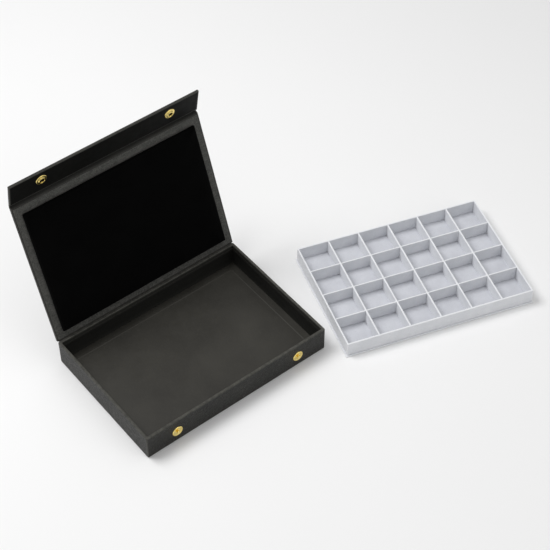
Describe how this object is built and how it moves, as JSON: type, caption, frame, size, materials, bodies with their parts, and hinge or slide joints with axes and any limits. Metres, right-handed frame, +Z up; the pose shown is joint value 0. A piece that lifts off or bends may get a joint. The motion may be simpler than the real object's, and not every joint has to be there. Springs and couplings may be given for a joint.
{
  "type": "miniature carry case",
  "caption": "Leatherette-covered clamshell case with a padded lid and a flap that snaps shut, beside the pale grey compartment tray that goes inside it.",
  "frame": {"origin": "centre of the case's underside, on the table", "axes": "+Z up; the front wall with the press studs faces -Y; +X to the right along the front wall"},
  "size_m": [0.5086, 0.3207, 0.223],
  "materials": {
    "greyboard": "matte",
    "leatherette": "satin",
    "paper_sheet": "matte",
    "black_lining": "satin",
    "floor_lining": "satin",
    "lid_lining": "matte",
    "black_pad": "matte",
    "brass": "polished",
    "grey_flock": "matte",
    "grey_pad": "matte"
  },
  "bodies": {
    "case": {"base_sheet": "paper_sheet", "bottom_board": "greyboard", "front_wall_board": "greyboard", "back_wall_board": "greyboard", "left_wall_board": "greyboard", "right_wall_board": "greyboard", "case_wrap": "leatherette", "wall_lining": "black_lining", "floor_lining": "floor_lining", "snap_studs": "brass", "stud_backs": "brass", "lid_hinge_cloth": "leatherette"},
    "lid": {"lid_board": "greyboard", "lid_wrap": "leatherette", "lid_lining": "lid_lining", "lid_pad": "black_pad", "flap_hinge_cloth": "leatherette"},
    "flap": {"flap_board": "greyboard", "flap_wrap": "leatherette", "flap_lining": "black_lining", "snap_sockets": "brass", "snap_caps": "brass"},
    "tray": {"tray_base": "grey_flock", "tray_floor_pad": "grey_pad", "tray_front_wall": "grey_flock", "tray_back_wall": "grey_flock", "tray_left_wall": "grey_flock", "tray_right_wall": "grey_flock", "long_divider_1": "grey_flock", "long_divider_2": "grey_flock", "long_divider_3": "grey_flock", "cross_divider_1": "grey_flock", "cross_divider_2": "grey_flock", "cross_divider_3": "grey_flock", "cross_divider_4": "grey_flock", "cross_divider_5": "grey_flock"}
  },
  "joints": [
    {"name": "lid_hinge", "type": "hinge", "parent": "case", "child": "lid", "pos_m": [0, 0.0817, 0.03215], "axis": [1, 0, 0], "range_deg": [0, 110], "deforming": ["lid_hinge_cloth"]},
    {"name": "flap_hinge", "type": "hinge", "parent": "lid", "child": "flap", "pos_m": [0, 0.14291, 0.19025], "axis": [1, 0, 0], "range_deg": [-30, 60], "deforming": ["flap_hinge_cloth"]},
    {"name": "tray_lift", "type": "slide", "parent": "case", "child": "tray", "axis": [0, 0, 1], "range_m": [0, 0.08]}
  ]
}
